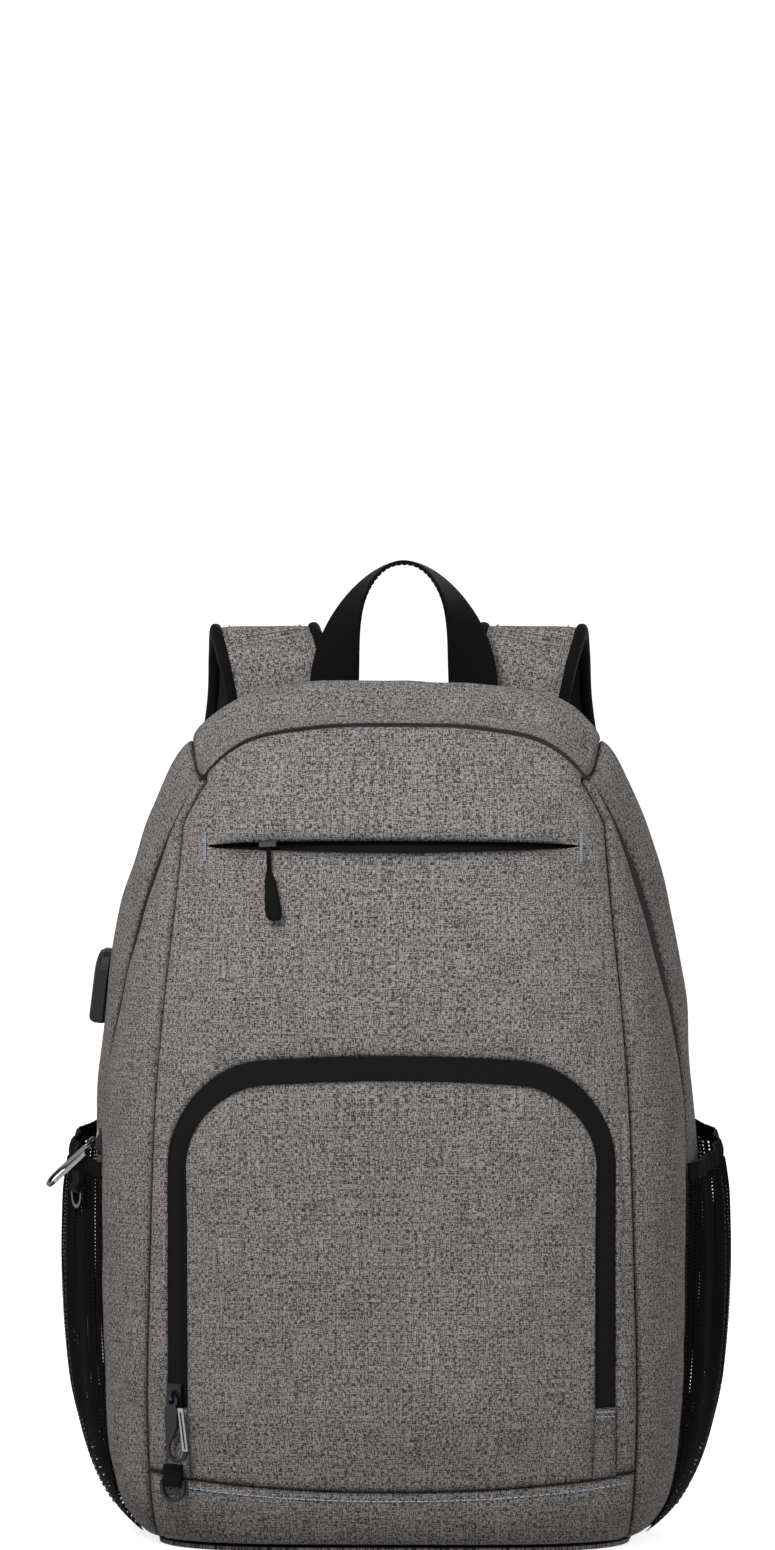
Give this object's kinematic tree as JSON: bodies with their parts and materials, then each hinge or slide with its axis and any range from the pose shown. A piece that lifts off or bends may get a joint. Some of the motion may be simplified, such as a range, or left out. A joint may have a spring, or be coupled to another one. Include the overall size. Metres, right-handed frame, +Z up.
{
  "type": "anti theft backpack",
  "caption": "Standing zipped laptop backpack with an arched front pocket, slit pocket, mesh side pockets, webbing handle, padded shoulder straps, clasping zip pulls and a charge port.",
  "frame": {"origin": "centre of the flat underside of the base", "axes": "+Z up, -Y out of the front, +X to the right seen from the front"},
  "size_m": [0.369, 0.2457, 0.5273],
  "materials": {
    "melange_cloth": "warm grey melange polyester",
    "back_cloth": "black padded air mesh",
    "mesh_cloth": "black open knit mesh",
    "binding_tape": "black grosgrain binding",
    "zip_tape": "black woven zip tape with coil",
    "webbing": "black ribbed webbing",
    "black_metal": "black nickel, satin",
    "black_plastic": "matte black",
    "grip_rubber": "matte black"
  },
  "bodies": {
    "bag": {"base_panel": "melange_cloth", "gusset_top": "melange_cloth", "upper_panel": "melange_cloth", "pocket_panel": "melange_cloth", "lower_front": "melange_cloth", "back_panel": "back_cloth", "main_zip": "zip_tape", "slit_zip": "zip_tape", "pocket_zip": "zip_tape", "haul_handle": "webbing", "gusset_right": "melange_cloth", "front_side_right": "melange_cloth", "zip_end_right": "melange_cloth", "mesh_pocket_right": "mesh_cloth", "pocket_band_right": "binding_tape", "strap_right": "melange_cloth", "strap_binding_right_outer": "binding_tape", "strap_binding_right_inner": "binding_tape", "ladder_lock_right": "black_plastic", "lock_tab_right": "webbing", "strap_webbing_right": "webbing", "wing_tab_right": "melange_cloth", "gusset_left": "melange_cloth", "front_side_left": "melange_cloth", "zip_end_left": "melange_cloth", "mesh_pocket_left": "mesh_cloth", "pocket_band_left": "binding_tape", "strap_left": "melange_cloth", "strap_binding_left_outer": "binding_tape", "strap_binding_left_inner": "binding_tape", "ladder_lock_left": "black_plastic", "lock_tab_left": "webbing", "strap_webbing_left": "webbing", "wing_tab_left": "melange_cloth", "pocket_slider": "black_metal", "main_slider": "black_metal", "slit_slider": "black_metal", "pocket_tab": "webbing", "side_tab": "webbing", "slit_cord": "webbing", "slit_grip": "grip_rubber", "charge_port": "black_plastic"},
    "pocket_pull": {"pocket_pull": "black_metal"},
    "pocket_gate": {"pocket_gate": "black_metal"},
    "main_pull": {"main_pull": "black_metal"},
    "main_gate": {"main_gate": "black_metal"},
    "pocket_ring": {"pocket_ring": "black_metal"},
    "side_ring": {"side_ring": "black_metal"}
  },
  "joints": [
    {"name": "pocket_pull_hinge", "type": "hinge", "parent": "bag", "child": "pocket_pull", "pos_m": [-0.11566, -0.09744, 0.08508], "axis": [-0.8848, 0.4661, 0], "range_deg": [0, 150]},
    {"name": "pocket_gate_spring", "type": "hinge", "parent": "pocket_pull", "child": "pocket_gate", "pos_m": [-0.11144, -0.0993, 0.07874], "axis": [0.4655, 0.8836, 0.0505], "range_deg": [0, 7], "stiffness_Nm_per_rad": 0.01},
    {"name": "main_pull_hinge", "type": "hinge", "parent": "bag", "child": "main_pull", "pos_m": [-0.16196, -0.00802, 0.214], "axis": [0, 0.9272, 0.3746], "range_deg": [0, 104]},
    {"name": "main_gate_spring", "type": "hinge", "parent": "main_pull", "child": "main_gate", "pos_m": [-0.16652, -0.01063, 0.20819], "axis": [0.6947, 0.2695, -0.667], "range_deg": [0, 7], "stiffness_Nm_per_rad": 0.01},
    {"name": "pocket_ring_hinge", "type": "hinge", "parent": "bag", "child": "pocket_ring", "pos_m": [-0.11557, -0.08863, 0.03858], "axis": [-0.8607, 0.5092, 0], "range_deg": [0, 120]},
    {"name": "side_ring_hinge", "type": "hinge", "parent": "bag", "child": "side_ring", "pos_m": [-0.17076, -0.00728, 0.189], "axis": [-0.3995, 0.9167, 0], "range_deg": [0, 90]}
  ]
}
